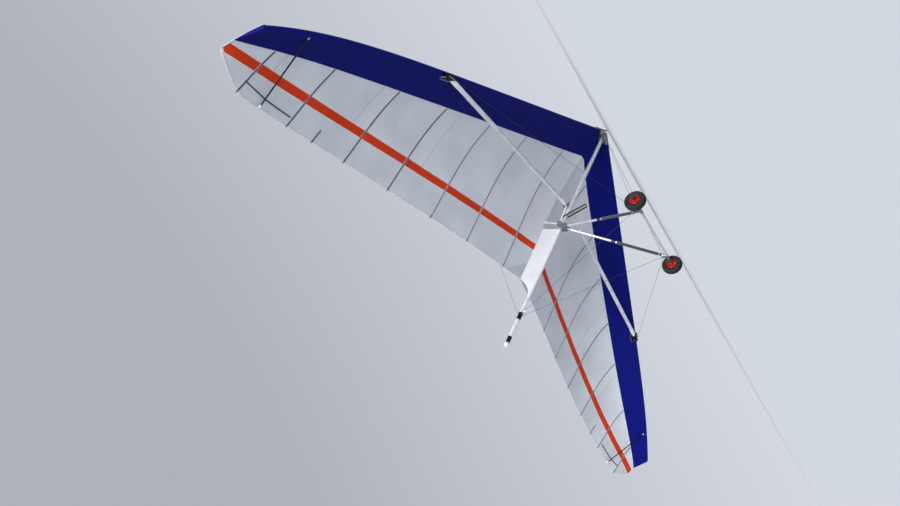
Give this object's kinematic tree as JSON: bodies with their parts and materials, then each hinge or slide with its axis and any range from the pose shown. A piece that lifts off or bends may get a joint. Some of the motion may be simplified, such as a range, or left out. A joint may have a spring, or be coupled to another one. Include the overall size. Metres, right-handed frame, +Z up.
{
  "type": "hang glider",
  "caption": "King-posted single-surface hang glider with a swept striped fabric wing, wire-braced control frame and wheels on its base bar, parked nose down.",
  "frame": {"origin": "bottom centre of the parked glider's bounding box, on the floor", "axes": "+X towards the left wing tip, +Y towards the tail, +Z up; the keel is tipped nose down by 42.93 degrees, so that the nose cap and both tyres touch the floor"},
  "size_m": [10.2004, 2.5916, 2.6756],
  "materials": {
    "tube": "satin anodised tube",
    "bracket": "bead-blasted alloy fittings",
    "black_alloy": "black anodised fittings",
    "wire": "dark coated stranded wire",
    "white_cloth": "white woven sailcloth",
    "orange_cloth": "orange-red woven sailcloth",
    "navy_cloth": "deep navy woven sailcloth",
    "padding": "dark padded fabric sleeve",
    "webbing": "black woven webbing",
    "rubber": "dark matt rubber",
    "tyre": "black ribbed tyre",
    "red_plastic": "red moulded wheel",
    "end_cap": "pale tube end cap"
  },
  "bodies": {
    "frame": {"keel_tube": "tube", "keel_nose_cap": "rubber", "keel_tail_cap": "end_cap", "rear_wire_clamp": "black_alloy", "keel_tail_band": "black_alloy", "nose_plate_upper": "bracket", "nose_plate_lower": "bracket", "crossbar_hinge": "bracket", "apex_bracket": "bracket", "basebar": "tube", "kingpost_base": "bracket", "kingpost": "tube", "kingpost_cap": "black_alloy", "upper_wire_front": "wire", "upper_wire_rear": "wire", "keel_pocket": "white_cloth", "nose_cone": "navy_cloth", "hang_loop": "webbing", "leading_edge_L": "tube", "leading_edge_R": "tube", "crossbar_L": "tube", "crossbar_R": "tube", "crossbar_bracket_L": "black_alloy", "crossbar_bracket_R": "black_alloy", "downtube_L": "tube", "downtube_R": "tube", "downtube_sleeve_L": "padding", "downtube_sleeve_R": "padding", "corner_bracket_L": "bracket", "corner_bracket_R": "bracket", "bar_end_plug_L": "rubber", "bar_end_plug_R": "rubber", "lower_wire_front_L": "wire", "lower_wire_front_R": "wire", "lower_wire_rear_L": "wire", "lower_wire_rear_R": "wire", "lower_wire_side_L": "wire", "lower_wire_side_R": "wire", "upper_wire_side_L": "wire", "upper_wire_side_R": "wire", "sail_main_L": "white_cloth", "sail_main_R": "white_cloth", "sail_stripe_L": "orange_cloth", "sail_stripe_R": "orange_cloth", "sail_trailing_L": "white_cloth", "sail_trailing_R": "white_cloth", "sail_band_L": "navy_cloth", "sail_band_R": "navy_cloth", "washout_strut_L": "black_alloy", "washout_strut_R": "black_alloy"},
    "wheel_L": {"tyre_L": "tyre", "rim_L": "red_plastic"},
    "wheel_R": {"tyre_R": "tyre", "rim_R": "red_plastic"}
  },
  "joints": [
    {"name": "wheel_spin_L", "type": "hinge", "parent": "frame", "child": "wheel_L", "pos_m": [0.7, 0.817, 0.13019], "axis": [1, 0, 0], "continuous": true},
    {"name": "wheel_spin_R", "type": "hinge", "parent": "frame", "child": "wheel_R", "pos_m": [-0.7, 0.817, 0.13019], "axis": [1, 0, 0], "continuous": true}
  ]
}
